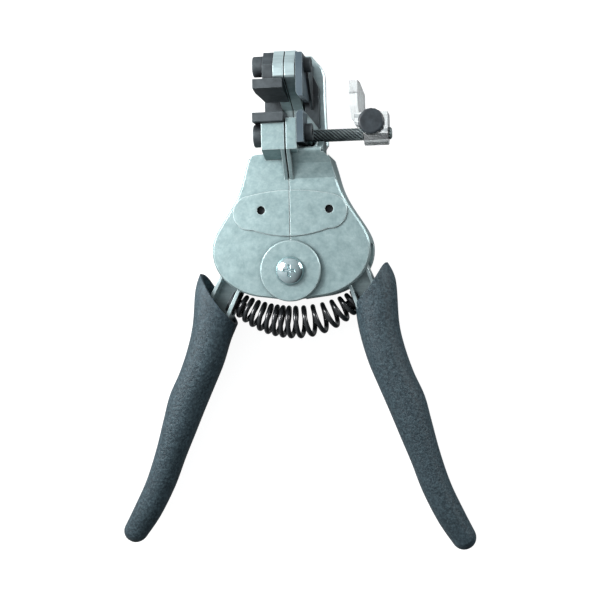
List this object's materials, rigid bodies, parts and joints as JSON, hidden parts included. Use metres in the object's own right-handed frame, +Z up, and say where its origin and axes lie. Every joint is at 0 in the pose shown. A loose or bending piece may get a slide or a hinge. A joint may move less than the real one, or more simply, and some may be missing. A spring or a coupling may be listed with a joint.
{
  "type": "wire stripper",
  "caption": "Hand-squeezed automatic wire stripper: sprung handles close gripping and notched blade jaws, then spread them apart; a clear stop on a knurled rod sets the strip length.",
  "frame": {"origin": "on the axis of the main pivot, in the plane that the back of the tool rests on", "axes": "+X to the blade side and the wire stop, +Y towards the jaws, +Z up out of the front of the tool"},
  "size_m": [0.1379, 0.1913, 0.03],
  "materials": {
    "cast_metal": "satin die casting",
    "lever_metal": "satin plated",
    "plated_steel": "bright zinc plate",
    "bright_screw": "bright nickel plate",
    "black_steel": "black oxide",
    "blade_steel": "blued tool steel",
    "spring_steel": "glossy black",
    "knurled_steel": "black, knurled",
    "grip_vinyl": "stippled matt vinyl",
    "clear_plastic": "clear polycarbonate",
    "black_plastic": "ribbed black"
  },
  "bodies": {
    "pivot": {"pivot_barrel": "plated_steel", "rear_washer": "plated_steel", "pivot_washer": "cast_metal", "pivot_screw": "bright_screw", "handle_spring": "spring_steel"},
    "left_frame": {"left_frame": "cast_metal", "left_handle_pin": "black_steel", "left_hinge_pin": "plated_steel", "left_jaw_spring": "spring_steel", "lower_gripper": "black_steel", "lower_gripper_screw": "black_steel"},
    "right_frame": {"right_frame": "cast_metal", "right_handle_pin": "black_steel", "right_hinge_pin": "plated_steel", "right_jaw_spring": "spring_steel", "lower_blade": "blade_steel", "lower_blade_screw": "black_steel"},
    "left_jaw": {"left_jaw_lever": "lever_metal", "upper_gripper": "black_steel", "upper_gripper_screw": "black_steel"},
    "right_jaw": {"right_jaw_lever": "lever_metal", "upper_blade": "blade_steel", "upper_blade_holder": "black_steel", "upper_blade_screw": "black_steel", "upper_blade_shim": "plated_steel"},
    "left_handle": {"left_handle": "lever_metal", "left_grip": "grip_vinyl", "left_spring_seat": "plated_steel"},
    "right_handle": {"right_handle": "lever_metal", "right_grip": "grip_vinyl", "right_spring_seat": "plated_steel"},
    "stop_rod": {"stop_rod": "knurled_steel"},
    "wire_stop": {"wire_stop": "clear_plastic"},
    "thumb_screw": {"thumb_screw": "black_plastic"}
  },
  "joints": [
    {"name": "frame_spread", "type": "hinge", "parent": "pivot", "child": "left_frame", "pos_m": [0, 0, 0.01], "axis": [0, 0, 1], "range_deg": [0, 10.5], "stiffness_Nm_per_rad": 1, "springref_deg": -17.19, "deforming": ["handle_spring"]},
    {"name": "right_frame_spread", "type": "hinge", "parent": "pivot", "child": "right_frame", "pos_m": [0, 0, 0.01], "axis": [0, 0, 1], "range_deg": [-10.5, 0]},
    {"name": "handle_squeeze", "type": "hinge", "parent": "left_frame", "child": "left_handle", "pos_m": [-0.011, 0.0232, 0.01], "axis": [0, 0, 1], "range_deg": [0, 8], "stiffness_Nm_per_rad": 0.8, "springref_deg": -17.19},
    {"name": "right_handle_squeeze", "type": "hinge", "parent": "right_frame", "child": "right_handle", "pos_m": [0.0151, 0.023, 0.01], "axis": [0, 0, 1], "range_deg": [-8, 0]},
    {"name": "left_jaw_close", "type": "hinge", "parent": "left_frame", "child": "left_jaw", "pos_m": [0, 0.0495, 0.0065], "axis": [1, 0, 0], "range_deg": [0, 16]},
    {"name": "right_jaw_close", "type": "hinge", "parent": "right_frame", "child": "right_jaw", "pos_m": [0, 0.0495, 0.0065], "axis": [1, 0, 0], "range_deg": [0, 12.3]},
    {"name": "rod_swing", "type": "hinge", "parent": "right_frame", "child": "stop_rod", "pos_m": [0.02, 0.0514, 0.0142], "axis": [1, 0, 0], "range_deg": [-60, 90]},
    {"name": "stop_slide", "type": "slide", "parent": "stop_rod", "child": "wire_stop", "axis": [1, 0, 0], "range_m": [-0.008, 0.001]},
    {"name": "thumb_turn", "type": "hinge", "parent": "wire_stop", "child": "thumb_screw", "pos_m": [0.0319, 0.0548, 0.02], "axis": [0, 0, 1], "continuous": true}
  ],
  "couplings": [
    {"joint": "right_frame_spread", "follows": "frame_spread", "ratio": -1},
    {"joint": "right_handle_squeeze", "follows": "handle_squeeze", "ratio": -1},
    {"joint": "left_jaw_close", "follows": "handle_squeeze", "ratio": 2},
    {"joint": "right_jaw_close", "follows": "handle_squeeze", "ratio": 1.5375}
  ]
}
